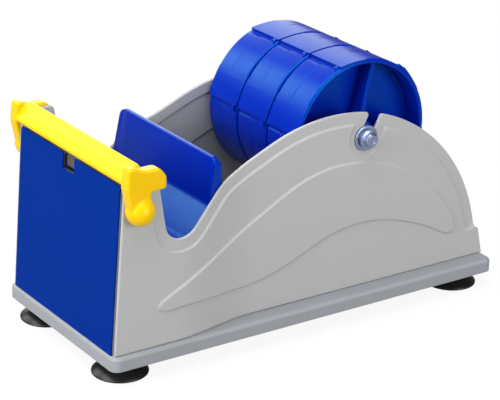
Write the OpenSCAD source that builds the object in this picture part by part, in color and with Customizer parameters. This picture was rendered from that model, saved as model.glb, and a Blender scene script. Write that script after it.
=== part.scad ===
// Counter-top dispenser for several rolls of tape: pressed steel side panels on a
// flat base with suction feet, three tape cores on a lift-out axle, a finger well,
// a serrated cutting blade and a hinged guard that covers the blade.
// The front faces -X, the axle lies along Y and the feet stand on Z = 0.
// Inside the modules, distances run back from the front edge of the base
// and heights run up from the underside of the base.

/* [Base] */
// Length of the base, front to back
base_l = 220.8; // [200:0.2:250]
// Width of the base
base_w = 98.6; // [94:0.2:130]
// Height of the base
base_h = 6.8; // [6.5:0.1:10]
// Radius of the base corners, seen from above
base_corner = 4; // [3:0.5:9]
// Rounding along the top edge of the base
base_edge = 1.8; // [0.5:0.1:2.5]
// Thickness of the base skin
base_skin = 2; // [1.5:0.1:3]

/* [Feet] */
// Height of a suction foot below the base
foot_h = 8; // [7:0.5:12]
// Diameter of the foot lip
foot_d = 26.4; // [24:0.2:30]
// Distance from the front end of the base to a front foot's centre
foot_front = 12.4; // [11:0.2:16]
// Distance from the rear end of the base to a rear foot's centre
foot_rear = 14.6; // [13.2:0.2:18]
// Distance from the sides of the base to a foot centre
foot_side = 15.5; // [15:0.1:18]
// Diameter of the foot stud
stud_d = 4; // [3:0.5:5]

/* [Side panels] */
// Thickness of the pressed sheet
sheet = 1.6; // [1.2:0.1:2]
// Distance of the panel face inside the side of the base, at the front
panel_set = 2.9; // [2.3:0.1:5.3]
// Depth of the step inwards, from the front of the panel to its rear
jog = 6.6; // [4.4:0.1:7.4]
// Where the panel starts to step inwards
step_start = 34; // [30:1:50]
// Length over which the panel steps inwards
step_len = 46; // [28:1:50]
// Height of the front horn
horn_h = 94; // [91:0.5:97]
// Width of the horn at its top
horn_w = 16.3; // [15:0.1:18]
// Rounding of the horn corners
horn_round = 3; // [1:0.5:3.5]
// Lean of the front, from upright
lean = 3.43; // [0:0.1:5]
// Height of the bottom of the finger notch
notch_h = 56.4; // [52:0.2:60]
// Flat width of the finger notch between its two slopes
notch_w = 11.8; // [11.7:0.1:14]
// Lean of the notch's front edge, from upright
notch_lean = 9.7; // [5:0.1:14]
// Slope of the notch's rear edge, from level
notch_slope = 46; // [42:1:52]
// Slope of the shoulder behind the notch, from level
shoulder_slope = 24; // [20:1:28]
// Radius of the large rear arc, as a share of the base length
arc_r_share = 0.4099; // [0.402:0.0001:0.426]
// Distance of the arc's centre from the front, as a share of the base length
arc_u_share = 0.56975; // [0.567:0.00001:0.586]
// Height of the arc's centre
arc_h = 6.1; // [4:0.1:8]
// Height at which the arc ends at the rear
rear_h = 22.4; // [18:0.2:30]
// Width of the slope between the arc's end and the straight rear edge
rear_step = 2.6; // [0:0.1:4]
// Width of the plain border inside the outline
border = 6; // [5:0.1:6.5]
// Height of each pressed step, border to panel and panel to sweep
emboss = 0.6; // [0.3:0.1:0.6]
// Width of the inward flange at the foot of a panel
flange = 10; // [8:0.5:14]

/* [Front] */
// Thickness of the coloured face plate
face_t = 0.8; // [0.6:0.1:1.2]
// Distance of the face plate's edges inside the panel faces
face_set = 1.6; // [0:0.1:2.4]
// Height of the face plate's top edge
face_h = 86.6; // [84:0.2:86.8]
// Width of the notch at the top of the face plate
face_notch_w = 10.2; // [8:0.2:14]
// Depth of the notch at the top of the face plate
face_notch_d = 7.6; // [5:0.2:9]

/* [Blade] */
// Thickness of the cutting blade
blade_t = 0.8; // [0.6:0.1:1]
// Height of the blade's points
blade_h = 91.4; // [90:0.1:92]
// Number of blade teeth
blade_teeth = 42; // [30:1:60]
// Depth of a blade tooth
tooth_depth = 1.4; // [0.8:0.1:2]
// Front to back depth of the blade holder
holder_l = 3.6; // [3:0.1:4.2]
// Height of the top of the blade holder
holder_h = 86.6; // [85:0.1:87]

/* [Guard] */
// Distance of the guard pivot from the front
pivot_u = 13.6; // [13:0.1:14.4]
// Height of the guard pivot
pivot_h = 75.8; // [75.2:0.1:76.6]
// Diameter of the pivot pin
pin_d = 4; // [3:0.1:4.4]
// Thickness of a guard arm
arm_t = 6.3; // [5.6:0.1:7]
// Radius of the ball over the pivot
ball_r = 6.1; // [5.8:0.1:6.6]
// Radius of the arm's round lower end
arm_r = 6.6; // [6.2:0.1:7]
// Thickness of the guard bar
bar_t = 2.6; // [2:0.1:2.8]
// Wire diameter of the guard's return springs
wire_d = 0.7; // [0.5:0.1:0.7]
// Number of turns in a return spring
spring_turns = 3; // [2:1:3]

/* [Tape rest] */
// Height of the tape rest's upright
rest_h = 88.4; // [84:0.2:90]
// Distance of the upright's top edge from the front
rest_u = 57.4; // [56:0.2:60]
// Wall thickness of the tape rest
rest_t = 3; // [2:0.1:3.4]
// Height of the bottom of the finger well
well_h = 52; // [50:0.2:54]
// Depth of the return at each end of the upright, at its top
return_top = 4.4; // [4:0.2:6]
// Depth of the return at each end of the upright, at its foot
return_low = 8; // [6.5:0.2:9]
// Diameter of the tape rest's legs
leg_d = 8; // [6:0.2:9]

/* [Axle and cores] */
// Distance of the axle behind the centre of the rear arc
axle_back = 16.7; // [12.2:0.1:21.2]
// Depth of the axle below the top of the rear arc
axle_drop = 14.1; // [11.6:0.1:16.6]
// Diameter of the axle
axle_d = 6; // [5:0.1:6]
// Width of the slot that holds the axle
slot_w = 6.6; // [6.6:0.1:7]
// Lean of the axle slot, from upright
slot_lean = 27; // [15:0.5:28]
// Radius of the rounded mouth of the slot
slot_mouth = 1.6; // [1:0.1:3.5]
// Radius of a tape core
core_r = 37.5; // [36:0.1:38]
// Thickness of the collars that keep the cores off the panels
collar_t = 0.6; // [0.4:0.1:7.2]
// Number of snap ridges round a core
ridges = 6; // [4:1:8]
// Height of a snap ridge
ridge_h = 1; // [0.5:0.1:1.2]
// Wall thickness of a core rim
rim_t = 2.5; // [2:0.1:3.5]
// Thickness of a core's web and of its ribs
web_t = 2.4; // [1.6:0.1:3]
// Number of ribs on a core web
ribs = 3; // [3:1:6]
// Diameter of the boss at the middle of a core
boss_d = 15; // [12:0.5:18]
// Diameter of the outer washers
washer_d = 12.6; // [11:0.2:13]
// Length of the turned end caps
cap_l = 4.9; // [4:0.1:6]

/* [Hidden] */
$fn = 48;

// Running clearance on a pin or shaft, on the radius
run = 0.05;
// Room between a moving piece and a fixed one
room = 0.3;
// Gap of a hair between leaning flat faces that seat on each other
hair = 0.005;
// Overlap that makes two shapes one solid
join = 0.2;
// Depth of a cut past the face that it opens
past = 1;

grey = "#b0b0b0";
base_grey = "#97999d";
blue = "#0a2fb8";
plate_blue = "#022f97";
yellow = "#f6d200";
black = "#1e1e20";
steel = "#c4cbd8";
dark = "#55585c";

// Panel faces, measured from the centre plane
front_y = base_w / 2 - panel_set;
rear_y = front_y - jog;
face_y = front_y - face_set;
rear_in = rear_y - sheet;
front_in = front_y - sheet;
panel_out = front_y + emboss;

// Front plane: distance back at a height
lean_k = tan(lean);
front_u0 = 0.5;
function front_at(h) = front_u0 + lean_k * h;
panel_front = face_t;

// Guard, measured from the centre plane
ball_set = 3.7;
ball_wall = 1.6;
arm_in = panel_out + room;
arm_out = arm_in + arm_t;
ball_y = arm_in + ball_set;
spring_room = ball_r - ball_wall;

// Guard outline seen from the side, measured from its pivot
ear_rise = 21.4;
ear_reach = 8.4;
ear_w = 2.2;
shin_rise = 11.9;
shin_reach = 9.4;
neck = 2.4;
lug_reach = 10.6;
lug_rise = 9.1;
lug_t = 6;
lug_top = 19.4;
lug_slant = 3.6;

// The two ends of the guard's bar
front_reach = 7.75;
front_rise = 13.55;
back_reach = 1.4;
back_rise = 19.8;
bar_front = [pivot_u - front_reach, pivot_h + front_rise];
bar_back = [pivot_u - back_reach, pivot_h + back_rise];
bar_slope = atan2(bar_back[1] - bar_front[1], bar_back[0] - bar_front[0]);

// Axle stack, outwards from the cores
core_gap = 0.4;
collar_gap = 0.1;
collar_y = rear_in - room - collar_t;
core_pitch = (collar_y - collar_gap) / 1.5;
core_w = core_pitch - core_gap;
washer_y = rear_y + room;
washer_t = 0.9;
cap_y = washer_y + washer_t;

// Vector helpers
function unit(v) = v / norm(v);
function det(a, b) = a[0] * b[1] - a[1] * b[0];
function xy(p) = [p[0], p[1]];
function dir(a) = [cos(a), sin(a)];
// Where the line through p along d meets the line through q along e
function meet(p, d, q, e) = p + d * det(q - p, e) / det(d, e);
// Points of an arc
function arc(c, r, a0, a1, n) = [for (i = [0:n]) c + r * dir(a0 + (a1 - a0) * i / n)];
// A corner p, between a and b, rounded with radius r
function corner(a, p, b, r, n) =
    let (d = unit(a - p), e = unit(b - p), half = acos(d * e) / 2)
    let (c = p + unit(d + e) * r / sin(half), s = p + d * r / tan(half) - c)
    let (turn = (180 - 2 * half) * (det(p - a, b - p) > 0 ? 1 : -1), a0 = atan2(s[1], s[0]))
    r < 0.05 ? [p] : arc(c, r, a0, a0 + turn, n);
// A closed outline from corners written as [x, y, radius]
function rounded(v, n = 6) = [for (i = [0:len(v) - 1])
    each corner(xy(v[(i + len(v) - 1) % len(v)]), xy(v[i]), xy(v[(i + 1) % len(v)]), v[i][2], n)];
// A closed smooth curve through points
function smooth(p, n = 5) = [for (i = [0:len(p) - 1], j = [0:n - 1])
    let (a = p[(i + len(p) - 1) % len(p)], b = p[i], c = p[(i + 1) % len(p)])
    let (d = p[(i + 2) % len(p)], t = j / n)
    0.5 * (2 * b + (c - a) * t + (2 * a - 5 * b + 4 * c - d) * t * t
        + (3 * b - a - 3 * c + d) * t * t * t)];

// Panel face at a distance back from the front: straight, a smooth step inwards, straight
function step_at(u) = let (t = min(1, max(0, (u - step_start) / step_len))) (1 - cos(180 * t)) / 2;
function face_at(u) = front_y + (rear_y - front_y) * step_at(u);
step_cuts = 14;
plan_us = concat([-past], [for (i = [0:step_cuts]) step_start + step_len * i / step_cuts],
    [base_l + past]);

// Side panel outline, drawn in by a distance behind the horn and along the top
arc_r = arc_r_share * base_l;
arc_u = arc_u_share * base_l;
arc_c = [arc_u, arc_h];
axle_u = arc_u + axle_back;
axle_h = arc_h + arc_r - axle_drop;
rear_u = arc_u + sqrt(arc_r * arc_r - (rear_h - arc_h) * (rear_h - arc_h));
rear_top = [rear_u + rear_step, rear_h - 0.7 * rear_step];
horn_back = front_at(horn_h) + panel_front + horn_w;
notch_u = horn_back + (horn_h - notch_h) * tan(notch_lean);
shoulder_round = 14;
notch_front_round = 8.2;
notch_rear_round = 11;
function panel_outline(b) =
    let (r = arc_r - b, top = horn_h - b, well = notch_h - b)
    let (up = dir(90 + notch_lean), side = dir(notch_lean), flank = dir(notch_slope))
    let (ridge = dir(shoulder_slope), f = dir(90 - lean))
    let (front_p = [front_at(base_h) + panel_front, base_h])
    let (notch_p = [notch_u, notch_h] - b * side)
    let (flank_p = [notch_u + notch_w, notch_h] + b * dir(notch_slope - 90))
    let (ridge_p = arc_c + r * dir(90 + shoulder_slope))
    let (end_a = asin((rear_h - arc_h) / r))
    let (shoulder = meet(flank_p, flank, ridge_p, ridge))
    let (well_r = meet(flank_p, flank, [0, well], [1, 0]))
    let (well_f = meet(notch_p, up, [0, well], [1, 0]))
    let (horn_r = meet(notch_p, up, [0, top], [1, 0]))
    let (bar_p = bar_front + (bar_t / 2 + 2 * room + b) * dir(bar_slope - 90))
    let (horn_t = meet(bar_p, dir(bar_slope), [0, top], [1, 0]))
    let (horn_f = meet(front_p, f, bar_p, dir(bar_slope)), hr = max(0.5, horn_round - b))
    concat([front_p, [base_l, base_h], rear_top], b > 0 ? [[rear_u, rear_h]] : [],
        arc(arc_c, r, end_a, 90 + shoulder_slope, 36),
        corner(ridge_p, shoulder, well_r, shoulder_round - b, 5),
        corner(shoulder, well_r, well_f, notch_rear_round + b, 8),
        corner(well_r, well_f, horn_r, notch_front_round + b, 8),
        corner(well_f, horn_r, horn_t, hr, 4),
        corner(horn_r, horn_t, horn_f, hr / 2, 3),
        corner(horn_t, horn_f, front_p, hr / 2, 3));

// Sweep pressed into the side panel: its upper edge runs back, its lower edge returns.
// It keeps its place under the rear arc, which had this centre and radius when it was drawn
drawn_c = [125.8, 6.1];
drawn_r = 90.5;
function under_arc(p) = arc_c + (p - drawn_c) * arc_r / drawn_r;
sweep_top = [[25.2, 27.6], [40, 35.2], [60, 44.2], [81, 54.8], [100, 64.9], [113, 69.6], [128, 71.7],
    [147, 69.6], [165, 63.2], [181, 53.2], [196, 36.4]];
sweep_low = [[200.4, 27], [196.4, 22.6], [179, 31], [158, 37.9], [140, 39.6], [123, 37.1], [106, 30.4],
    [90, 24.6], [77, 22.2], [60, 22.5], [40, 23.6], [27.6, 23.2]];

// Middle of the whole length, with the lips of the front feet
middle_u = (base_l - max(0, foot_d / 2 - foot_front)) / 2;

// Stands the body on its feet, centred over the origin
module place() {
    translate([-middle_u, 0, foot_h])
        children();
}

// Turns an outline of distances and heights into a solid between two widths
module across(y0, y1) {
    translate([0, y1, 0])
        rotate([90, 0, 0])
            linear_extrude(y1 - y0)
                children();
}

// A cylinder along Y at a distance and height
module rod(u, h, d, y0, y1) {
    translate([u, y1, h])
        rotate([90, 0, 0])
            cylinder(d = d, h = y1 - y0);
}

// A band that follows the panel face seen from above, from out0 to out1 outside it
module band(out0, out1, z0, z1) {
    translate([0, 0, z0])
        linear_extrude(z1 - z0)
            polygon(concat([for (u = plan_us) [u, face_at(u) + out0]],
                [for (i = [len(plan_us) - 1:-1:0]) [plan_us[i], face_at(plan_us[i]) + out1]]));
}

// Outline of the axle slot, widened by a distance, with a rounded mouth
module slot_shape(wider) {
    mouth_side = slot_w / 2 + slot_mouth;
    translate([axle_u, axle_h])
        rotate(-slot_lean) {
            circle(d = slot_w + 2 * wider);
            translate([-slot_w / 2 - wider, 0])
                square([slot_w + 2 * wider, arc_r / 2]);
            if (wider == 0)
                for (s = [-1, 1])
                    translate([s * mouth_side, mouth_at(s * mouth_side) - slot_mouth])
                        difference() {
                            translate([s > 0 ? -slot_mouth - join : 0, 0])
                                square([slot_mouth + join, slot_mouth + past]);
                            circle(r = slot_mouth);
                        }
        }
}

// Height of the rear arc above the axle, along the slot, at a distance beside its middle
function mouth_at(w) =
    let (d = dir(90 - slot_lean), c = [axle_u, axle_h] + w * dir(-slot_lean) - arc_c)
    let (half = c * d)
    -half + sqrt(half * half - c * c + arc_r * arc_r);

screw_front = 30;
screw_rear = 33.6;
screw_us = [screw_front, (screw_front + base_l - screw_rear) / 2, base_l - screw_rear];
screw_d = 3;
screw_head_d = 6;
screw_head_h = 2;
function screw_y(u) = face_at(u) - sheet - flange / 2;

// The +Y side panel: sheet, pressed panel and sweep, and a flange that sits on the base
module side_panel() {
    difference() {
        union() {
            intersection() {
                band(-sheet, 0, 0, horn_h + arc_r);
                across(0, base_w)
                    polygon(panel_outline(0));
            }
            difference() {
                intersection() {
                    band(-join, emboss, 0, horn_h + arc_r);
                    across(0, base_w)
                        polygon(panel_outline(border));
                }
                across(0, base_w)
                    slot_shape(border);
            }
            intersection() {
                band(-join, 2 * emboss, 0, horn_h + arc_r);
                across(0, base_w)
                    polygon(smooth([for (p = concat(sweep_top, sweep_low)) under_arc(p)]));
            }
            intersection() {
                band(-sheet - flange, -sheet + join, base_h, base_h + sheet);
                translate([screw_us[0] - flange, 0, 0])
                    cube([screw_us[2] - screw_us[0] + 2 * flange, base_w, horn_h]);
            }
        }
        across(0, base_w)
            slot_shape(0);
        rod(pivot_u, pivot_h, pin_d + 2 * run, 0, base_w);
        for (u = screw_us)
            translate([u, screw_y(u), 0])
                cylinder(d = screw_d + 2 * run, h = base_h + 2 * sheet);
    }
}

module left_side_panel() {
    color(grey)
        place()
            side_panel();
}

module right_side_panel() {
    color(grey)
        place()
            mirror([0, 1, 0])
                side_panel();
}

// Four places, given as front and rear, left and right
foot_us = [foot_front, base_l - foot_rear];
foot_y = base_w / 2 - foot_side;

// A slab with rounded corners and a rounded top edge
module slab(l, w, h, r, e) {
    for (i = [0, 1])
        translate([i * r, (1 - i) * r - w / 2, 0])
            cube([l - 2 * i * r, w - 2 * (1 - i) * r, h - e]);
    translate([e, r - w / 2, 0])
        cube([l - 2 * e, w - 2 * r, h]);
    translate([r, e - w / 2, 0])
        cube([l - 2 * r, w - 2 * e, h]);
    for (u = [r, l - r], y = [r - w / 2, w / 2 - r])
        translate([u, y, 0]) {
            cylinder(r = r, h = h - e);
            cylinder(r = r - e, h = h);
            translate([0, 0, h - e])
                rotate_extrude()
                    translate([r - e, 0])
                        circle(r = e);
        }
    for (y = [e - w / 2, w / 2 - e])
        translate([r, y, h - e])
            rotate([0, 90, 0])
                cylinder(r = e, h = l - 2 * r);
    for (u = [e, l - e])
        translate([u, w / 2 - r, h - e])
            rotate([90, 0, 0])
                cylinder(r = e, h = w - 2 * r);
}

// Hollow base with a post over each foot
module base_tray() {
    post_d = 16;
    color(base_grey)
        place()
            difference() {
                union() {
                    difference() {
                        slab(base_l, base_w, base_h, base_corner, base_edge);
                        translate([base_skin, base_skin - base_w / 2, -past])
                            cube([base_l - 2 * base_skin, base_w - 2 * base_skin,
                                base_h - base_skin + past]);
                    }
                    for (u = foot_us, s = [-1, 1])
                        translate([u, s * foot_y, 0])
                            cylinder(d = post_d, h = base_h - join);
                }
                for (u = foot_us, s = [-1, 1])
                    translate([u, s * foot_y, -past])
                        cylinder(d = stud_d + 2 * run, h = base_h + 2 * past);
                for (u = screw_us, s = [-1, 1])
                    translate([u, s * screw_y(u), 0])
                        cylinder(d = screw_d + 2 * run, h = base_h + past);
                for (u = leg_us, s = [-1, 1])
                    translate([u, s * leg_y, 0])
                        cylinder(d = screw_d + 2 * run, h = base_h + past);
            }
}

// A slice of the leaning front between two heights, from set back to set back + t
function leaning(h0, h1, set, t) = [[front_at(h0) + set, h0], [front_at(h0) + set + t, h0],
    [front_at(h1) + set + t, h1], [front_at(h1) + set, h1]];

// Notch at the top middle of the front
module front_notch() {
    translate([0, -face_notch_w / 2, face_h - face_notch_d])
        cube([front_at(face_h) + holder_set, face_notch_w, face_notch_d + past]);
}

// Leaning front sheet between the side panels
module front_panel() {
    color(grey)
        place()
            difference() {
                across(-front_in, front_in)
                    polygon(leaning(base_h, face_h - face_t, panel_front, sheet));
                front_notch();
            }
}

// Coloured plate over the front
module face_plate() {
    color(plate_blue)
        place()
            difference() {
                across(-face_y, face_y)
                    polygon(leaning(base_h, face_h, 0, face_t));
                front_notch();
            }
}

// Low rear sheet between the side panels, leaning with their rear edges
module rear_panel() {
    color(grey)
        place()
            across(-rear_in, rear_in)
                polygon([[base_l - sheet, base_h], [base_l, base_h], rear_top,
                    rear_top - [sheet, 0]]);
}

// Screws from under the base into the panel flanges
module panel_screws() {
    color(steel)
        place()
            for (u = screw_us, s = [-1, 1])
                translate([u, s * screw_y(u), base_h - base_skin - screw_head_h])
                    screw(screw_head_h + base_skin + 2 * sheet);
}

// A pan head screw, head down
module screw(l) {
    cylinder(d = screw_head_d, h = screw_head_h);
    cylinder(d = screw_d, h = l);
}

// Blade and its holder, set back from the front plane
blade_y = front_in - 2;
holder_set = panel_front + sheet;
blade_set = holder_set + holder_l + hair;
holder_low = pivot_h + pin_d + room;
blade_screw_h = (holder_low + holder_h) / 2;
blade_screw_ys = [for (k = [-0.75, -0.25, 0.25, 0.75]) k * blade_y];
blade_screw_bite = 0.7 * holder_l;

// Cross bar that carries the blade between the side panels
module blade_holder() {
    color(dark)
        place()
            difference() {
                across(-front_in, front_in)
                    polygon(leaning(holder_low, holder_h, holder_set, holder_l));
                for (y = blade_screw_ys)
                    blade_hole(y, screw_d + 2 * run, blade_screw_bite + 0.2);
            }
}

// A round bar square to the back of the blade, reaching forward into the holder
module blade_hole(y, d, reach) {
    translate([front_at(blade_screw_h) + blade_set, y, blade_screw_h])
        rotate([0, lean, 0])
            translate([-reach, 0, 0])
                rotate([0, 90, 0])
                    cylinder(d = d, h = reach + blade_t + past);
}

// Serrated blade on the back of its holder, leaning with the front
module cutting_blade() {
    pitch = 2 * blade_y / blade_teeth;
    root_h = blade_h - tooth_depth;
    color(steel)
        place()
            difference() {
                across(-blade_y, blade_y)
                    polygon(leaning(holder_low, blade_h, blade_set, blade_t));
                for (i = [0:blade_teeth - 1])
                    translate([0, (i + 0.5) * pitch - blade_y, root_h])
                        rotate([90, 0, 90])
                            linear_extrude(base_l / 2)
                                polygon([[0, 0], [pitch / 2, tooth_depth + 0.01],
                                    [-pitch / 2, tooth_depth + 0.01]]);
                for (y = blade_screw_ys)
                    blade_hole(y, screw_d + 2 * run, past);
            }
}

// Pan head screws that hold the blade to its holder
module blade_screws() {
    color(steel)
        place()
            for (y = blade_screw_ys)
                translate([front_at(blade_screw_h) + blade_set, y, blade_screw_h])
                    rotate([0, lean, 0])
                        translate([blade_t * cos(lean) + screw_head_h, 0, 0])
                            rotate([0, -90, 0])
                                screw(screw_head_h + blade_t + blade_screw_bite);
}

// Upper surface of the tape rest, from its front wall down through the well and up
leg_us = [35, 52];
leg_y = 26;
screw_bite = 12;
rest_lean = 3.8;
rest_rise = 21.4;
crease = [rest_u - rest_lean, rest_h - rest_rise];
well_rear = meet(crease, dir(notch_slope), [0, well_h], [1, 0]);
well_front = [notch_u + 0.4, well_h];
rest_front = [well_front[0] - (pivot_h - well_h) * tan(notch_lean), pivot_h];
rest_path = [rest_front, well_front, well_rear, crease, [rest_u, rest_h]];
rest_rounds = [0, 5.5, 9, 4, 0];

// A path moved sideways by t, to the right of its run
function beside(p, t) = let (n = len(p) - 1)
    let (d = [for (i = [0:n - 1]) unit(p[i + 1] - p[i])], o = [for (v = d) t * [v[1], -v[0]]])
    [for (i = [0:n]) i == 0 ? p[0] + o[0] : i == n ? p[n] + o[n - 1]
        : meet(p[i] + o[i - 1], d[i - 1], p[i] + o[i], d[i])];

// A strip of thickness t along a path, with rounded bends and ends
function strip(p, rounds, t, end) = let (q = beside(p, t), n = len(p) - 1)
    rounded(concat([for (i = [0:n]) [q[i][0], q[i][1], rounds[i] > 0 ? rounds[i] + t : end]],
        [for (i = [n:-1:0]) [p[i][0], p[i][1], rounds[i] > 0 ? rounds[i] : end]]));

// Space between the side panels, seen from above, less a clearance
module between_panels(clear, z1) {
    linear_extrude(z1)
        polygon(concat([for (u = plan_us) [u, clear + sheet - face_at(u)]],
            [for (i = [len(plan_us) - 1:-1:0]) [plan_us[i], face_at(plan_us[i]) - sheet - clear]]));
}

// Tape rest: front wall, sloping well and upright in one moulding on four legs
module tape_rest() {
    color(blue)
        place() {
            intersection() {
                across(-base_w / 2, base_w / 2)
                    polygon(strip(rest_path, rest_rounds, rest_t, 0.8));
                between_panels(room, 2 * rest_h);
            }
            rest_returns();
            for (u = leg_us, s = [-1, 1])
                rest_leg(u, s * leg_y);
        }
}

// Returns that run back from the two ends of the upright
module rest_returns() {
    in = 0.3;
    low = crease + [in, in];
    high = [rest_u + in, rest_h - in];
    intersection() {
        across(-base_w / 2, base_w / 2)
            polygon([low, [low[0] + return_low, low[1]], [high[0] + return_top, high[1]], high]);
        difference() {
            between_panels(room, 2 * rest_h);
            between_panels(room + rest_t, 3 * rest_h);
        }
    }
}

// One leg of the tape rest, with a pilot hole for its screw
module rest_leg(u, y) {
    top = well_h + max(0, u - leg_d / 2 - well_rear[0]) * tan(notch_slope) - rest_t / 3;
    difference() {
        translate([u, y, base_h])
            cylinder(d = leg_d, h = top - base_h);
        translate([u, y, base_h - past])
            cylinder(d = screw_d + 2 * run, h = screw_bite + past);
    }
}

module tape_rest_screws() {
    color(steel)
        place()
            for (u = leg_us, s = [-1, 1])
                translate([u, s * leg_y, base_h - base_skin - screw_head_h])
                    screw(screw_head_h + base_skin + screw_bite - 1);
}

// A rubber suction cup that hangs below the base
module foot(u, y) {
    lip = foot_d / 2;
    lip_w = 2;
    stud_in = foot_h * 0.55;
    color(black)
        place()
            translate([u, y, -foot_h])
                difference() {
                    rotate_extrude()
                        polygon([[0, foot_h - stud_in - 1], [lip * 0.6, 1.6], [lip - lip_w, 0], [lip, 0],
                            [lip, 0.9], [lip * 0.75, foot_h * 0.42], [lip * 0.46, foot_h * 0.58],
                            [lip * 0.46, foot_h * 0.7], [lip * 0.58, foot_h * 0.8],
                            [lip * 0.58, foot_h], [0, foot_h]]);
                    translate([0, 0, foot_h - stud_in])
                        cylinder(d = stud_d + 2 * run, h = foot_h);
                }
}

module foot_front_left() {
    foot(foot_us[0], foot_y);
}

module foot_front_right() {
    foot(foot_us[0], -foot_y);
}

module foot_rear_left() {
    foot(foot_us[1], foot_y);
}

module foot_rear_right() {
    foot(foot_us[1], -foot_y);
}

nut_h = 3.2;
nut_d = (stud_d + 3) / cos(30);

// Steel studs moulded into the feet
module foot_studs() {
    color(steel)
        place()
            for (u = foot_us, s = [-1, 1])
                translate([u, s * foot_y, -0.5 * foot_h])
                    cylinder(d = stud_d, h = 0.5 * foot_h + base_h + nut_h + 1);
}

// Nuts on the base, over the studs
module foot_nuts() {
    color(steel)
        place()
            for (u = foot_us, s = [-1, 1])
                translate([u, s * foot_y, base_h])
                    difference() {
                        cylinder(d = nut_d, h = nut_h, $fn = 6);
                        translate([0, 0, -past])
                            cylinder(d = stud_d + 2 * run, h = nut_h + 2 * past);
                    }
}

pin_head_t = 1.2;
pin_end = ball_y + 0.6 * ball_r;

// Riveted pin on the +Y side: head inside the panel, shank out into the guard
module pivot_pin() {
    rod(pivot_u, pivot_h, 1.4 * pin_d, front_in - pin_head_t, front_in);
    rod(pivot_u, pivot_h, pin_d, front_in - join, pin_end);
}

module pivot_pin_left() {
    color(steel)
        place()
            pivot_pin();
}

module pivot_pin_right() {
    color(steel)
        place()
            mirror([0, 1, 0])
                pivot_pin();
}

// Return spring: one unbroken wire wound round the pin inside the ball
spring_r = (pin_d / 2 + spring_room) / 2;
spring_pitch = wire_d + 0.45;
spring_cuts = 8;
wire_sides = 6;
spring_y0 = panel_out + wire_d;
spring_n = spring_turns * spring_cuts;
function spring_at(i) = let (a = 360 * i / spring_cuts)
    [spring_r * cos(a), spring_y0 + spring_pitch * i / spring_cuts, spring_r * sin(a)];
spring_path = [for (i = [0:spring_n]) spring_at(i)];
spring_gap = min([for (i = [0:spring_n - spring_cuts + 2], j = [i + spring_cuts - 2:spring_n])
    if (j <= spring_n) norm(spring_path[i] - spring_path[j])]) - wire_d;

// A tube of triangles along a path
module tube(path, d, sides) {
    rings = len(path);
    pts = [for (i = [0:rings - 1]) let (a = path[max(0, i - 1)], b = path[min(rings - 1, i + 1)])
        let (t = unit(b - a), side = unit(cross(t, [0, 1, 0])), up = cross(side, t))
        for (k = [0:sides - 1]) path[i]
            + d / 2 * (cos(360 * k / sides) * side + sin(360 * k / sides) * up)];
    last = (rings - 1) * sides;
    skin = [for (i = [0:rings - 2], k = [0:sides - 1])
        let (p = i * sides + k, q = i * sides + (k + 1) % sides)
        each [[p, q, p + sides], [q, q + sides, p + sides]]];
    ends = [for (k = [1:sides - 2]) each [[0, k + 1, k], [last, last + k, last + k + 1]]];
    polyhedron(pts, concat(skin, ends), convexity = 8);
}

module guard_spring() {
    translate([pivot_u, 0, pivot_h])
        tube(spring_path, wire_d, wire_sides);
}

module guard_spring_left() {
    echo(spring_gap = spring_gap);
    color(steel)
        place()
            guard_spring();
}

module guard_spring_right() {
    color(steel)
        place()
            mirror([0, 1, 0])
                guard_spring();
}

// Arm on the +Y side, with its ball, ear and rear lug
module guard_arm() {
    difference() {
        union() {
            across(arm_in, arm_out) {
                translate([pivot_u, pivot_h])
                    circle(r = arm_r);
                polygon(rounded([[pivot_u - 0.95 * arm_r, pivot_h - 1, 0.5],
                    [pivot_u + 0.9 * arm_r, pivot_h - 1, 0.5],
                    [pivot_u + neck, pivot_h + lug_rise, 1.2],
                    [pivot_u + lug_reach, pivot_h + lug_rise, 1.6],
                    [pivot_u + lug_reach, pivot_h + lug_rise + lug_t, 3],
                    [pivot_u + lug_reach - lug_slant, pivot_h + lug_top, 3.5],
                    [pivot_u, pivot_h + lug_top, 4],
                    [pivot_u - ear_reach + ear_w, pivot_h + ear_rise, 1],
                    [pivot_u - ear_reach, pivot_h + ear_rise, 1],
                    [pivot_u - shin_reach, pivot_h + shin_rise, 4]]));
            }
            intersection() {
                translate([pivot_u, ball_y, pivot_h])
                    sphere(r = ball_r);
                translate([pivot_u - ball_r, arm_in, pivot_h - ball_r])
                    cube(2 * ball_r);
            }
        }
        rod(pivot_u, pivot_h, 2 * spring_room, 0, ball_y + 0.4 * ball_r);
        rod(pivot_u, pivot_h, pin_d + 2 * run, 0, pin_end + room);
    }
}

// Guard: two arms joined by a sloping bar over the blade
module blade_guard() {
    out = dir(bar_slope + 90);
    color(yellow)
        place() {
            for (s = [0, 1])
                mirror([0, s, 0])
                    guard_arm();
            across(-arm_in - join, arm_in + join) {
                translate(bar_front)
                    circle(d = bar_t);
                translate(bar_back)
                    circle(d = bar_t);
                polygon([bar_front - bar_t / 2 * out, bar_back - bar_t / 2 * out,
                    bar_back + bar_t / 2 * out, bar_front + bar_t / 2 * out]);
            }
        }
}

// Plain steel axle
module axle() {
    color(steel)
        place()
            rod(axle_u, axle_h, axle_d, -cap_y - 0.6 * cap_l, cap_y + 0.6 * cap_l);
}

// Turned end cap on the +Y end: barrel, tip and chamfer
module axle_cap() {
    barrel_d = 1.6 * axle_d;
    tip_d = 1.17 * axle_d;
    barrel_l = 0.45 * cap_l;
    chamfer = 0.7;
    difference() {
        translate([axle_u, cap_y, axle_h])
            rotate([-90, 0, 0])
                rotate_extrude()
                    polygon([[0, 0], [barrel_d / 2, 0], [barrel_d / 2, barrel_l - 0.4],
                        [barrel_d / 2 - 0.4, barrel_l], [tip_d / 2, barrel_l],
                        [tip_d / 2, cap_l - chamfer], [tip_d / 2 - chamfer, cap_l], [0, cap_l]]);
        rod(axle_u, axle_h, axle_d + 2 * run, 0, cap_y + 0.65 * cap_l);
    }
}

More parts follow.
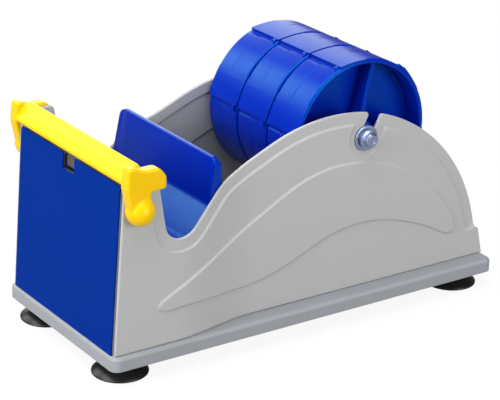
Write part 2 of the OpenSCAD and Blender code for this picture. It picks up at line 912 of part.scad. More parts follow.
module axle_cap_left() {
    color(steel)
        place()
            axle_cap();
}

module axle_cap_right() {
    color(steel)
        place()
            mirror([0, 1, 0])
                axle_cap();
}

// A flat ring on the axle
module axle_ring(d, y0, y1) {
    difference() {
        rod(axle_u, axle_h, d, y0, y1);
        rod(axle_u, axle_h, axle_d + 2 * run, y0 - past, y1 + past);
    }
}

module axle_washer_left() {
    color(steel)
        place()
            axle_ring(washer_d, washer_y, cap_y);
}

module axle_washer_right() {
    color(steel)
        place()
            axle_ring(washer_d, -cap_y, -washer_y);
}

module axle_collar_left() {
    color(steel)
        place()
            axle_ring(2 * axle_d, collar_y, collar_y + collar_t);
}

module axle_collar_right() {
    color(steel)
        place()
            axle_ring(2 * axle_d, -collar_y - collar_t, -collar_y);
}

ridge_turn = 51;
rib_turn = 78;
ridge_span = 14;
ridge_foot = 0.2;
ridge_in = 0.4;
groove_w = 2;
groove_d = 0.6;
nub_w = 2;

// One tape core centred on y: rim with snap ridges, web, ribs and bored boss
module core(y) {
    inner_r = core_r - rim_t;
    half = core_w / 2;
    boss_half = core_pitch / 2 - 0.1;
    color(blue)
        place()
            translate([axle_u, y, axle_h])
                rotate([90, 0, 0])
                    difference() {
                        union() {
                            difference() {
                                cylinder(r = core_r, h = core_w, center = true, $fn = 96);
                                cylinder(r = inner_r, h = core_w + 2 * past, center = true, $fn = 96);
                            }
                            cylinder(r = inner_r + join, h = web_t, center = true);
                            cylinder(d = boss_d, h = 2 * boss_half, center = true);
                            for (i = [0:ribs - 1])
                                rotate(rib_turn + 360 * i / ribs)
                                    translate([boss_d / 2 - join, -web_t / 2, -0.4 * core_w])
                                        cube([inner_r - boss_d / 2 + 2 * join, web_t, 0.8 * core_w]);
                            for (i = [0:ridges - 1])
                                rotate(ridge_turn + 360 * i / ridges) {
                                    translate([0, 0, ridge_in - half])
                                        linear_extrude(core_w - 2 * ridge_in)
                                            ridge_shape();
                                    translate([core_r - join, -join, half - 2 * nub_w])
                                        cube([ridge_h + join, nub_w + join, nub_w]);
                                }
                        }
                        cylinder(d = axle_d + 2 * run, h = core_w + 2 * past, center = true);
                        for (i = [0:ridges - 1])
                            rotate(ridge_turn + 360 * i / ridges)
                                translate([core_r - groove_d, 0, -half - past])
                                    cube([groove_d + ridge_h + past, groove_w,
                                        core_w - 2 * nub_w + past]);
                    }
}

// Cross section of a snap ridge: a sharp drop at angle 0, and a ramp behind it to a low foot
module ridge_shape() {
    cuts = 5;
    drop = ridge_h - ridge_foot;
    polygon(concat([[core_r - rim_t / 2, 0]],
        [for (i = [0:cuts]) (core_r + ridge_h - drop * i / cuts) * dir(-ridge_span * i / cuts)],
        [(core_r - rim_t / 2) * dir(-ridge_span)]));
}

module core_left() {
    core(core_pitch);
}

module core_middle() {
    core(0);
}

module core_right() {
    core(-core_pitch);
}

base_tray();
left_side_panel();
right_side_panel();
front_panel();
face_plate();
rear_panel();
panel_screws();
blade_holder();
cutting_blade();
blade_screws();
tape_rest();
tape_rest_screws();
foot_front_left();
foot_front_right();
foot_rear_left();
foot_rear_right();
foot_studs();
foot_nuts();
pivot_pin_left();
pivot_pin_right();
guard_spring_left();
guard_spring_right();
blade_guard();
axle();
axle_cap_left();
axle_cap_right();
axle_washer_left();
axle_washer_right();
axle_collar_left();
axle_collar_right();
core_left();
core_middle();
core_right();
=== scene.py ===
"""Looks of a counter-top tape dispenser: three tape cores between pressed steel panels."""

import math

import bmesh
import bpy
from bpy.props import FloatProperty, FloatVectorProperty, IntProperty, PointerProperty
from mathutils import Matrix, Vector
from mathutils.geometry import tessellate_polygon


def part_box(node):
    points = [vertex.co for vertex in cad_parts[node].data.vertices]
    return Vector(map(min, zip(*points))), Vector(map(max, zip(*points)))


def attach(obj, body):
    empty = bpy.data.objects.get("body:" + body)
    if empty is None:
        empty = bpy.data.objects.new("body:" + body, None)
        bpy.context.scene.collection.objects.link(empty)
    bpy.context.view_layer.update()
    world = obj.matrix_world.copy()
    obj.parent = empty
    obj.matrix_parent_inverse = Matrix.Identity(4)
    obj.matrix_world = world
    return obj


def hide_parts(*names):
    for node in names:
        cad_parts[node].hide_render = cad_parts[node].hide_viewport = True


bl_info = {
    "name": "Tape dispenser",
    "version": (1, 0, 0),
    "blender": (4, 5, 0),
    "location": "View3D > Sidebar > Dispenser",
    "description": "Builds the looks of a tape dispenser around its packed solids",
    "category": "Object",
}

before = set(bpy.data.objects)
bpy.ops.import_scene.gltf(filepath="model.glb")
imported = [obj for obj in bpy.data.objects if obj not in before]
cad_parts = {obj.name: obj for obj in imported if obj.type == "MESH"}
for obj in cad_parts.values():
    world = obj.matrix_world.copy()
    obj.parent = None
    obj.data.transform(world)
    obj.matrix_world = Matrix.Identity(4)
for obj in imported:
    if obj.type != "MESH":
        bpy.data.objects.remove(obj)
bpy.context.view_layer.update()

MM = 0.001
BASE_LOW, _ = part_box("base_tray")
FRONT_X = BASE_LOW.x / MM
BASE_Z = BASE_LOW.z / MM


def linear(code):
    """A linear colour from an sRGB hex value."""
    parts = [int(code[i : i + 2], 16) / 255 for i in (1, 3, 5)]
    return tuple(c / 12.92 if c <= 0.04045 else ((c + 0.055) / 1.055) ** 2.4 for c in parts)


def at(u, y, h):
    """A point from mm back of the base's front edge, mm from the middle and mm above the base's underside."""
    return Vector(((u + FRONT_X) * MM, y * MM, (h + BASE_Z) * MM))


# Properties

class PanelSizes(bpy.types.PropertyGroup):
    rim_round: FloatProperty(name="Rim rounding", description="Radius of a panel's cut edge",
                             default=0.75 * MM, unit="LENGTH")
    border: FloatProperty(name="Border", description="Width of the low border inside the outline",
                          default=6 * MM, unit="LENGTH")
    ramp: FloatProperty(name="Ramp", description="Width of the slope at a pressed step",
                        default=1.4 * MM, unit="LENGTH")
    emboss: FloatProperty(name="Pressed step", description="Height of one pressed step",
                          default=0.75 * MM, unit="LENGTH")


class GuardSizes(bpy.types.PropertyGroup):
    voxel: FloatProperty(name="Moulding grain", description="Cell size that melts the guard's parts together",
                         default=0.32 * MM, unit="LENGTH")
    soften: IntProperty(name="Softening", description="Smoothing passes over the moulded edges", default=8)
    edge_round: FloatProperty(name="Edge rounding", description="Radius of an arm's outer edge",
                              default=1.5 * MM, unit="LENGTH")


class RestSizes(bpy.types.PropertyGroup):
    corner: FloatProperty(name="Top corner", description="Radius of the upright's two top corners",
                          default=2.6 * MM, unit="LENGTH")
    edge_round: FloatProperty(name="Edge rounding", description="Radius of the moulded edges",
                              default=0.35 * MM, unit="LENGTH")


class CoreSizes(bpy.types.PropertyGroup):
    ridges: IntProperty(name="Snap ridges", description="Number of ridges round a core", default=6)
    ribs: IntProperty(name="Ribs", description="Number of ribs on a core's web", default=3)
    ridge_turn: FloatProperty(name="Ridge turn", description="Angle of the first ridge",
                              default=math.radians(51), subtype="ANGLE")
    rib_turn: FloatProperty(name="Rib turn", description="Angle of the first rib",
                            default=math.radians(78), subtype="ANGLE")


class Finishes(bpy.types.PropertyGroup):
    panel: FloatVectorProperty(name="Panels", description="Coat of the pressed panels",
                               default=linear("#B0B0B0"), subtype="COLOR", min=0, max=1)
    base: FloatVectorProperty(name="Base", description="Coat of the base",
                              default=linear("#93969B"), subtype="COLOR", min=0, max=1)
    plate: FloatVectorProperty(name="Face plate", description="Coat of the face plate",
                               default=linear("#002A83"), subtype="COLOR", min=0, max=1)
    cores: FloatVectorProperty(name="Cores", description="Blue of the cores and the tape rest",
                               default=linear("#001DA3"), subtype="COLOR", min=0, max=1)
    guard: FloatVectorProperty(name="Guard", description="Yellow of the guard",
                               default=linear("#EEBF00"), subtype="COLOR", min=0, max=1)
    rubber: FloatVectorProperty(name="Feet", description="Black of the feet",
                                default=linear("#1C1C1E"), subtype="COLOR", min=0, max=1)


class Dispenser(bpy.types.PropertyGroup):
    panel: PointerProperty(type=PanelSizes)
    guard: PointerProperty(type=GuardSizes)
    rest: PointerProperty(type=RestSizes)
    core: PointerProperty(type=CoreSizes)
    finish: PointerProperty(type=Finishes)


# Sizes of the pieces in mm, the same as the solids' or near them

SHEET = 1.6
ROOM = 0.3
FRONT_Y, REAR_Y = 46.4, 39.8
STEP_START, STEP_LENGTH = 34.0, 46.0
BASE_L, BASE_H = 220.8, 6.8
LEAN = math.radians(3.43)
FRONT_EDGE, FACE_T = 0.5, 0.8
WINDOW_HALF, WINDOW_DEEP = 5.1, 7.6
HORN_H, HORN_W, HORN_ROUND = 94.0, 16.3, 3.0
NOTCH_H, NOTCH_W = 56.4, 11.8
NOTCH_LEAN, NOTCH_SLOPE, SHOULDER_SLOPE = math.radians(9.7), math.radians(46), math.radians(24)
NOTCH_U = FRONT_EDGE + math.tan(LEAN) * HORN_H + FACE_T + HORN_W + (HORN_H - NOTCH_H) * math.tan(NOTCH_LEAN)
SHOULDER_ROUND, NOTCH_REAR_ROUND, NOTCH_FRONT_ROUND = 30.0, 11.0, 8.2
FLANGE_START, FLANGE_LENGTH, FLANGE_W = 20.0, 177.2, 10.0
ARC = Vector((125.8, 6.1))
ARC_R = 90.5
REAR_H, REAR_STEP = 22.4, 2.6
PIVOT = Vector((13.6, 75.8))
BAR_FRONT = PIVOT + Vector((-7.75, 13.55))
BAR_BACK = PIVOT + Vector((-1.4, 19.8))
BAR_T = 2.6
ARM_INNER, ARM_OUTER = 47.3, 53.6
BALL_R, BALL_Y = 6.7, 50.35
AXLE = Vector((142.5, 82.5))
SLOT_W, SLOT_LEAN, SLOT_MOUTH = 6.6, math.radians(27), 1.6
SWEEP = [(25.2, 27.6), (40, 35.2), (60, 44.2), (81, 54.8), (100, 64.9), (113, 69.6), (128, 71.7),
         (147, 69.6), (165, 63.2), (181, 53.2), (196, 36.4), (200.4, 27), (196.4, 22.6), (179, 31),
         (158, 37.9), (140, 39.6), (123, 37.1), (106, 30.4), (90, 24.6), (77, 22.2), (60, 22.5), (40, 23.6),
         (27.6, 23.2)]
REST_U, REST_H, REST_T, WELL_H = 57.4, 88.4, 3.0, 52.0
CREASE = Vector((REST_U - 3.8, REST_H - 21.4))
LEG_R, LEG_Y = 4.0, 26.0
CORE_R, CORE_W, CORE_PITCH = 37.5, 24.4, 24.8
CORE_BORE, BOSS_R, RIM_R, WEB_HALF = 3.05, 7.5, 35.0, 1.2
RIDGE_HIGH, RIDGE_RAMP = 0.967, math.radians(20)
WASHER_R = 6.3


def heading(angle):
    return Vector((math.cos(angle), math.sin(angle)))


def front_at(h):
    """Distance back of the leaning front at a height."""
    return FRONT_EDGE + math.tan(LEAN) * h


def face_at(u):
    """Distance of a panel's face from the middle: straight, a smooth step inwards, straight."""
    t = min(1, max(0, (u - STEP_START) / STEP_LENGTH))
    return FRONT_Y + (REAR_Y - FRONT_Y) * (1 - math.cos(math.pi * t)) / 2


def meet(p, d, q, e):
    """Where the line through p along d meets the line through q along e."""
    w = q - p
    return p + d * (w.x * e.y - w.y * e.x) / (d.x * e.y - d.y * e.x)


def arc_points(centre, radius, a0, a1, n):
    return [centre + radius * heading(a0 + (a1 - a0) * i / n) for i in range(n + 1)]


def corner(a, p, b, radius, n):
    """Points of a corner p, between a and b, rounded with a radius."""
    d, e = (a - p).normalized(), (b - p).normalized()
    half = math.acos(max(-1, min(1, d.dot(e)))) / 2
    centre = p + (d + e).normalized() * radius / math.sin(half)
    start = p + d * radius / math.tan(half) - centre
    turn = math.pi - 2 * half
    if (p - a).x * (b - p).y - (p - a).y * (b - p).x < 0:
        turn = -turn
    a0 = math.atan2(start.y, start.x)
    return arc_points(centre, radius, a0, a0 + turn, n)


def rounded(corners, n=6):
    """A closed outline from corners written as (u, h, radius)."""
    pts = [Vector(c[:2]) for c in corners]
    out = []
    for i, c in enumerate(corners):
        if c[2] < 0.05:
            out.append(pts[i])
        else:
            out += corner(pts[i - 1], pts[i], pts[(i + 1) % len(pts)], c[2], n)
    return out


def smooth_loop(points, n=8):
    """A closed smooth curve through points."""
    out, count = [], len(points)
    for i in range(count):
        a, b, c, d = (Vector(points[(i + k) % count]) for k in (-1, 0, 1, 2))
        for j in range(n):
            t = j / n
            out.append(0.5 * (2 * b + (c - a) * t + (2 * a - 5 * b + 4 * c - d) * t * t
                              + (3 * b - a - 3 * c + d) * t ** 3))
    return out


def pushed(loop, distance):
    """A closed loop moved sideways, to the left of its run."""
    out = []
    for i, p in enumerate(loop):
        run = (loop[(i + 1) % len(loop)] - loop[i - 1]).normalized()
        out.append(p + distance * Vector((-run.y, run.x)))
    return out


# Pieces

def add_mesh(name, points, faces):
    mesh = bpy.data.meshes.new(name)
    mesh.from_pydata([tuple(p) for p in points], [], faces)
    mesh.update()
    return add_object(name, mesh)


def add_object(name, data):
    piece = bpy.data.objects.new(name, data)
    bpy.context.scene.collection.objects.link(piece)
    return piece


def outward(piece, weld=0.000002, sharp=None):
    """Welds doubles, turns the faces outwards and shades them smoothly, keeping edges past an angle sharp."""
    mesh = piece.data
    bm = bmesh.new()
    bm.from_mesh(mesh)
    bmesh.ops.remove_doubles(bm, verts=bm.verts, dist=weld)
    bmesh.ops.dissolve_degenerate(bm, edges=bm.edges, dist=weld / 2)
    bmesh.ops.recalc_face_normals(bm, faces=bm.faces)
    bm.to_mesh(mesh)
    bm.free()
    mesh.shade_smooth()
    if sharp is not None:
        mesh.set_sharp_from_angle(angle=math.radians(sharp))


def round_edges(piece, radius, segments=3, angle=35):
    edges = piece.modifiers.new("Rounded edges", "BEVEL")
    edges.width = radius
    edges.segments = segments
    edges.limit_method = "ANGLE"
    edges.angle_limit = math.radians(angle)
    edges.harden_normals = True


def even(piece):
    """Lets wide faces lead the shading, so that rounded edges don't bend the light across them."""
    lead = piece.modifiers.new("Even fields", "WEIGHTED_NORMAL")
    lead.weight = 90
    lead.keep_sharp = True


def evaluated(piece):
    """Turns a piece's live modifiers into its plain mesh."""
    graph = bpy.context.evaluated_depsgraph_get()
    mesh = bpy.data.meshes.new_from_object(piece.evaluated_get(graph))
    piece.modifiers.clear()
    piece.data = mesh
    return piece


def dress(piece, material, body, slot, *nodes):
    """Gives a piece its material and its body, and lets it stand for solids; the slot argument is not used.
    """
    piece.data.materials.clear()
    piece.data.materials.append(material)
    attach(piece, body)
    if nodes:
        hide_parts(*nodes)


def paint(material, *nodes):
    """Gives solids that stay as they are a material."""
    for name in nodes:
        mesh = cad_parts[name].data
        mesh.materials.clear()
        mesh.materials.append(material)


def skin(rings, closed_ends=True):
    """Faces between rings of equal length, each ring closed on itself."""
    n = len(rings[0])
    points = [p for ring in rings for p in ring]
    faces = []
    for i in range(len(rings) - 1):
        for k in range(n):
            a, b = i * n + k, i * n + (k + 1) % n
            faces.append((a, b, b + n, a + n))
    if closed_ends:
        faces.append(tuple(range(n))[::-1])
        faces.append(tuple(range((len(rings) - 1) * n, len(rings) * n)))
    return points, faces


def join(points, faces, more, sides):
    """Adds one closed shape's points and faces to those of a piece."""
    faces += [tuple(i + len(points) for i in face) for face in sides]
    points += more


def turned(name, profile, steps, place):
    """A lathe shape round Y from (radius, y) points in mm; a closed profile off the axis makes a ring."""
    points, faces, n = [], [], len(profile)
    for i in range(steps):
        a = 2 * math.pi * i / steps
        points += [place(r * math.cos(a), y, r * math.sin(a)) for r, y in profile]
    for i in range(steps):
        for k in range(n):
            a, b = i * n + k, i * n + (k + 1) % n
            c, d = (b + n) % len(points), (a + n) % len(points)
            faces.append((a, b, c, d))
    piece = add_mesh(name, points, faces)
    outward(piece, sharp=32)
    return piece


def softened(profile, radius, n=3):
    """A closed (radius, y) profile with its corners rounded; points on the axis stay."""
    out, count = [], len(profile)
    for i, p in enumerate(profile):
        a, b = Vector(profile[i - 1]), Vector(profile[(i + 1) % count])
        p = Vector(p)
        room = 0.45 * min((a - p).length, (b - p).length)
        d, e = (a - p).normalized(), (b - p).normalized()
        half = math.acos(max(-1, min(1, d.dot(e)))) / 2
        r = min(radius, room * math.tan(half))
        if p.x < 0.01 or half > math.radians(80) or r < 0.02:
            out.append(p)
        else:
            out += corner(a, p, b, r, n)
    return [(p.x, p.y) for p in out]


# Materials

def add(tree, kind, values=None, links=None, **settings):
    """Adds a node with its settings, socket values and links."""
    made = tree.nodes.new(kind)
    for key, value in settings.items():
        setattr(made, key, value)
    for key, value in (values or {}).items():
        made.inputs[key].default_value = value
    for key, socket in (links or {}).items():
        tree.links.new(socket, made.inputs[key])
    return made


def per_mm(size):
    """Texture scale for a pattern of a real size in mm, on Object coordinates in metres."""
    return 1 / (size * MM)


def blank(name):
    material = bpy.data.materials.new(name)
    material.use_nodes = True
    material.node_tree.nodes.clear()
    return material, material.node_tree


def shade(color, k):
    return tuple(min(1, c * k) for c in color) + (1,)


def surface(name, color, spread, cloud_mm, rough, grain_mm, grain_height, stretch=(1, 1, 1), values=None):
    """A surface whose colour drifts in soft clouds and whose gloss and relief follow a fine grain."""
    material, tree = blank(name)
    spot = add(tree, "ShaderNodeTexCoord")
    turn = add(tree, "ShaderNodeMapping", {"Scale": stretch}, {"Vector": spot.outputs["Object"]})
    cloud = add(tree, "ShaderNodeTexNoise", {"Scale": per_mm(cloud_mm), "Detail": 3.0, "Roughness": 0.5},
                {"Vector": spot.outputs["Object"]})
    grain = add(tree, "ShaderNodeTexNoise", {"Scale": per_mm(grain_mm), "Detail": 2.0, "Roughness": 0.6},
                {"Vector": turn.outputs["Vector"]})
    tint = add(tree, "ShaderNodeMix", {"A": shade(color, 1 - spread), "B": shade(color, 1 + spread)},
               {"Factor": cloud.outputs["Fac"]}, data_type="RGBA")
    gloss = add(tree, "ShaderNodeMapRange",
                {"From Min": 0.3, "From Max": 0.7, "To Min": rough[0], "To Max": rough[1]},
                {"Value": grain.outputs["Fac"]})
    relief = add(tree, "ShaderNodeBump", {"Strength": 1.0, "Distance": grain_height * MM},
                 {"Height": grain.outputs["Fac"]})
    body = add(tree, "ShaderNodeBsdfPrincipled", values,
               {"Base Color": tint.outputs["Result"], "Roughness": gloss.outputs["Result"],
                "Normal": relief.outputs["Normal"]})
    add(tree, "ShaderNodeOutputMaterial", None, {"Surface": body.outputs["BSDF"]})
    return material


def finishes():
    """The object's materials, made once. No roughness goes below 0.28: where one crosses about 0.27, the
    cleaning of the render's noise leaves dark specks."""
    if "Powder coated steel" in bpy.data.materials:
        return bpy.data.materials
    look = bpy.context.scene.dispenser.finish
    # Baked powder coat: an even satin grey with a faint orange peel
    surface("Powder coated steel", look.panel, 0.012, 40, (0.42, 0.5), 1.1, 0.006)
    # The base's coat: darker, a little rougher and more mottled
    surface("Textured base coat", look.base, 0.03, 26, (0.5, 0.62), 0.8, 0.012)
    # Stoved enamel on the face plate: smooth and even, so it hardly breaks the light
    surface("Stoved blue enamel", look.plate, 0.02, 30, (0.4, 0.45), 1.6, 0.0008,
            values={"Specular IOR Level": 0.02, "Specular Tint": (0.1, 0.7, 1, 1)})
    # Moulded ABS: deep colour under a glossy skin with slow swirls of the melt
    surface("Moulded blue ABS", look.cores, 0.04, 18, (0.285, 0.325), 6, 0.0,
            values={"IOR": 1.5, "Specular Tint": (0, 1, 0.8, 1)})
    # Moulded ABS of the guard: warm yellow whose reflections are warm too
    surface("Moulded yellow ABS", look.guard, 0.02, 20, (0.285, 0.325), 6, 0.002,
            values={"IOR": 1.5, "Specular Tint": (1, 0.85, 0.3, 1)})
    # Suction rubber: near black, with a dull bloom
    surface("Black rubber", look.rubber, 0.12, 9, (0.28, 0.42), 0.7, 0.006)
    # Zinc plate over turned steel: pale and bluish, with fine rings from the tool
    surface("Zinc plated steel", linear("#A8B4D4"), 0.05, 3, (0.285, 0.36), 0.5, 0.002, (1, 3, 1),
            {"Metallic": 1.0})
    # Hardened strip for the blade: bright, with grinding lines along the edge
    surface("Ground blade steel", linear("#C9CCD0"), 0.04, 6, (0.285, 0.38), 0.35, 0.003, (1, 0.05, 1),
            {"Metallic": 1.0})
    # Grey coat on the cross bar that carries the blade
    surface("Dark coated steel", linear("#55524D"), 0.05, 12, (0.45, 0.58), 0.8, 0.006)
    # Painted shade: a near-black coat on the cut edge of the window behind the face plate, standing in for
    # the shade in the window's depth
    surface("Painted window shade steel", linear("#232427"), 0.05, 12, (0.45, 0.58), 0.8, 0.006)
    return bpy.data.materials


# Side panels

def slot_lip(s, b):
    """Rounded lip at the rear (s 1) or front (s -1) of the slot's mouth, for an outline drawn in by b."""
    run, across = heading(math.pi / 2 - SLOT_LEAN), heading(-SLOT_LEAN)
    p = AXLE + s * (SLOT_W / 2 + b) * across
    along = (p - ARC).dot(run)
    p = p + run * (-along + math.sqrt(along ** 2 - (p - ARC).length_squared + (ARC_R - b) ** 2))
    flat = Vector((p.y - ARC.y, ARC.x - p.x)).normalized() * s
    return corner(p - run, p, p + flat, max(0.4, SLOT_MOUTH - b), 5)


def bearing(p):
    """Direction of a point from the centre of the panels' arc."""
    return math.atan2(p.y - ARC.y, p.x - ARC.x)


def panel_loop(b):
    """Outline of a side panel with its axle slot, drawn in by b, in equal counts for every b; also the share
    of the low border at each point."""
    up, side, flank = heading(math.pi / 2 + NOTCH_LEAN), heading(NOTCH_LEAN), heading(NOTCH_SLOPE)
    ridge, lean = heading(SHOULDER_SLOPE), heading(math.pi / 2 - LEAN)
    level, radius = Vector((1, 0)), ARC_R - b
    low, top, well = BASE_H + b, HORN_H - b, NOTCH_H - b
    front = Vector((front_at(low) + FACE_T + b / math.cos(LEAN), low))
    arc_end = Vector((ARC.x + math.sqrt(ARC_R ** 2 - (REAR_H - ARC.y) ** 2), REAR_H))
    rear_top = arc_end + Vector((REAR_STEP, -0.7 * REAR_STEP))
    rear_run = (rear_top - Vector((BASE_L, BASE_H))).normalized()
    rear_p = Vector((BASE_L, BASE_H)) + b * Vector((-rear_run.y, rear_run.x))
    heel = meet(rear_p, rear_run, Vector((0, low)), level)
    step_run = (arc_end - rear_top).normalized()
    step_p = arc_end + b * Vector((-step_run.y, step_run.x))
    rear = meet(rear_p, rear_run, step_p, step_run)
    along = (step_p - ARC).dot(step_run)
    reach = -along - math.sqrt(along ** 2 - (step_p - ARC).length_squared + radius ** 2)
    rear_in = step_p + step_run * reach
    notch_p = Vector((NOTCH_U, NOTCH_H)) - b * side
    flank_p = Vector((NOTCH_U + NOTCH_W, NOTCH_H)) + b * heading(NOTCH_SLOPE - math.pi / 2)
    ridge_p = ARC + radius * heading(math.pi / 2 + SHOULDER_SLOPE)
    shoulder = meet(flank_p, flank, ridge_p, ridge)
    well_r = meet(flank_p, flank, Vector((0, well)), level)
    well_f = meet(notch_p, up, Vector((0, well)), level)
    horn_r = meet(notch_p, up, Vector((0, top)), level)
    slope = math.atan2(BAR_BACK.y - BAR_FRONT.y, BAR_BACK.x - BAR_FRONT.x)
    bar_p = BAR_FRONT + (BAR_T / 2 + 2 * ROOM + b) * heading(slope - math.pi / 2)
    horn_t = meet(bar_p, heading(slope), Vector((0, top)), level)
    horn_f = meet(front, lean, bar_p, heading(slope))
    tip = max(0.5, HORN_ROUND - b)
    lip_r, lip_f = slot_lip(1, b), slot_lip(-1, b)
    rear_arc = arc_points(ARC, radius, bearing(rear_in), bearing(lip_r[-1]), 44)
    front_arc = arc_points(ARC, radius, bearing(lip_f[-1]), math.pi / 2 + SHOULDER_SLOPE, 44)
    # Stretches as (share of the border, points, gaps in the straight run to the next stretch)
    spans = [
        (0, [front], 96),
        (0, [heel], 8),
        (0, [rear], 2),
        (0, [rear_in], 1),
        (1, rear_arc[1:-1] + lip_r[::-1], 4),
        (1, arc_points(AXLE, SLOT_W / 2 + b, -SLOT_LEAN, -SLOT_LEAN - math.pi, 14), 4),
        (1, lip_f + front_arc[1:], 3),
        (1, corner(ridge_p, shoulder, well_r, SHOULDER_ROUND - b, 8), 10),
        (1, corner(shoulder, well_r, well_f, NOTCH_REAR_ROUND + b, 12), 2),
        (1, corner(well_r, well_f, horn_r, NOTCH_FRONT_ROUND + b, 12), 16),
        (1, corner(well_f, horn_r, horn_t, tip, 5), 3),
        (1, corner(horn_r, horn_t, horn_f, tip / 2, 3), 6),
        (0, corner(horn_t, horn_f, front, tip / 2, 3), 40),
    ]
    loop, share = [], []
    for i, (kind, points, gaps) in enumerate(spans):
        after = spans[(i + 1) % len(spans)]
        loop += points
        share += [kind] * len(points)
        for k in range(1, gaps):
            loop.append(points[-1].lerp(after[1][0], k / gaps))
            share.append(kind + (after[0] - kind) * k / gaps)
    return loop, share


def step(t):
    """A smooth rise from 0 to 1."""
    return t * t * (3 - 2 * t)


def panel_rows(sizes):
    """Rows of (point, lift of the face, drop below it) in mm: the rim's quarter round, the slope from the low
    border to the field, then the slope from the field to the raised sweep; also the number of rows before the
    sweep's."""
    rim, border = sizes.rim_round / MM, sizes.border / MM
    ramp, emboss = sizes.ramp / MM, sizes.emboss / MM
    rows = []
    edge, share = panel_loop(rim)
    for k in range(5):
        a = math.pi / 2 * k / 4
        loop, _ = panel_loop(rim * (1 - math.cos(a)))
        rows.append([(p, emboss * (1 - s), -rim * (1 - math.sin(a))) for p, s in zip(loop, share)])
    for f in (k / 5 for k in range(6)):
        loop, _ = panel_loop(border - ramp / 2 + f * ramp)
        rows.append([(e.lerp(p, s), emboss * (1 - s * (1 - step(f))), 0)
                     for e, p, s in zip(edge, loop, share)])
    before = len(rows)
    sweep = smooth_loop(SWEEP)
    for f in (k / 5 for k in range(6)):
        rows.append([(p, emboss * (1 + step(f)), 0) for p in pushed(sweep, ramp / 2 - f * ramp)])
    return rows, before


def panel_sheet(sizes):
    """One side panel's sheet for +Y, as a bmesh whose points are (distance, face height, height) in mm."""
    bm = bmesh.new()
    depth = bm.verts.layers.float.new("depth")
    rows, before = panel_rows(sizes)
    verts = []
    for row in rows:
        made = []
        for p, lift, d in row:
            v = bm.verts.new((p.x, lift + d, p.y))
            v[depth] = d
            made.append(v)
        verts.append(made)
    for i in range(len(rows) - 1):
        if i + 1 == before:
            continue
        n = len(verts[i])
        for k in range(n):
            bm.faces.new((verts[i][k], verts[i][(k + 1) % n], verts[i + 1][(k + 1) % n], verts[i + 1][k]))
    for loops in ((before - 1, before), (len(rows) - 1,)):
        flat = [v for i in loops for v in verts[i]]
        outlines = [[Vector((v.co.x, v.co.z, 0)) for v in verts[i]] for i in loops]
        for tri in tessellate_polygon(outlines):
            bm.faces.new([flat[k] for k in tri])
    bmesh.ops.remove_doubles(bm, verts=bm.verts, dist=0.002)
    for i in range(1, 24):
        u = STEP_START + STEP_LENGTH * i / 24
        bmesh.ops.bisect_plane(bm, geom=bm.verts[:] + bm.edges[:] + bm.faces[:], dist=0.0001,
                               plane_co=(u, 0, 0), plane_no=(1, 0, 0))
    return bm, depth


def panel_mesh(name, sizes, side):
    """One side panel: the pressed sheet's two faces and the flange along its foot."""
    bm, depth = panel_sheet(sizes)
    bm.verts.ensure_lookup_table()
    bm.verts.index_update()
    count = len(bm.verts)
    points = []
    for back in (0, 1):
        for v in bm.verts:
            y = face_at(v.co.x) + v.co.y
            if back:
                y -= SHEET + 2 * v[depth]
            points.append(at(v.co.x, side * y, v.co.z))
    faces = []
    for f in bm.faces:
        ids = [v.index for v in f.verts]
        faces.append(tuple(ids))
        faces.append(tuple(i + count for i in reversed(ids)))
    for e in bm.edges:
        if e.is_boundary:
            a, b = (v.index for v in e.verts)
            faces.append((a, b, b + count, a + count))
    bm.free()
    rings = []
    for i in range(71):
        u = FLANGE_START + FLANGE_LENGTH * i / 70
        wall = face_at(u) - SHEET + 0.2
        section = rounded([(wall, BASE_H, 0), (wall, BASE_H + SHEET, 0),
                           (wall - FLANGE_W, BASE_H + SHEET, 0.7), (wall - FLANGE_W, BASE_H, 0.2)], 3)
        rings.append([at(u, side * p.x, p.y) for p in section])
    join(points, faces, *skin(rings))
    piece = add_mesh(name, points, faces)
    outward(piece, weld=0.0000005, sharp=50)
    even(piece)
    return piece


class DISPENSER_OT_panels(bpy.types.Operator):
    """Builds the two pressed side panels"""
    bl_idname = "dispenser.panels"
    bl_label = "Side panels"

    def execute(self, context):
        coat = finishes()["Powder coated steel"]
        for side, word in ((1, "left"), (-1, "right")):
            piece = panel_mesh("pressed_panel_" + word, context.scene.dispenser.panel, side)
            dress(piece, coat, "stand", "panel_grey", word + "_side_panel")
        paint(coat, "rear_panel")
        paint(finishes()["Textured base coat"], "base_tray")
        return {"FINISHED"}


class DISPENSER_OT_front(bpy.types.Operator):
    """Builds the face plate and dresses the blade behind it"""
    bl_idname = "dispenser.front"
    bl_label = "Front"

    def execute(self, context):
        low, high = (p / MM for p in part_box("face_plate"))
        half, top, foot = high.y, high.z - BASE_Z, low.z - BASE_Z
        notch, sill = WINDOW_HALF, top - WINDOW_DEEP
        outline = rounded([(-half, foot, 0), (half, foot, 0), (half, top, 1.2), (notch, top, 0.4),
                           (notch, sill, 0.8), (-notch, sill, 0.8), (-notch, top, 0.4), (-half, top, 1.2)], 4)
        rings = [[at(front_at(p.y) + back, p.x, p.y) for p in outline] for back in (0, FACE_T)]
        piece = add_mesh("enamelled_face_plate", *skin(rings))
        outward(piece)
        round_edges(piece, 0.22 * MM, 2)
        dress(piece, finishes()["Stoved blue enamel"], "stand", "plate_blue", "face_plate")
        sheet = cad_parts["front_panel"].data
        paint(finishes()["Powder coated steel"], "front_panel")
        # Painted shade: the front sheet's faces in and round the window get the near-black coat, for the
        # shade in the window's depth
        sheet.materials.append(finishes()["Painted window shade steel"])
        for face in sheet.polygons:
            if abs(face.center.y) < (notch + 0.2) * MM and face.center.z > (sill + BASE_Z - 0.4) * MM:
                face.material_index = 1
        paint(finishes()["Dark coated steel"], "blade_holder")
        paint(finishes()["Ground blade steel"], "cutting_blade")
        return {"FINISHED"}


# Guard

def prism(name, outline, y0, y1):
    piece = add_mesh(name, *skin([[at(p.x, y, p.y) for p in outline] for y in (y0, y1)]))
    outward(piece)
    return piece


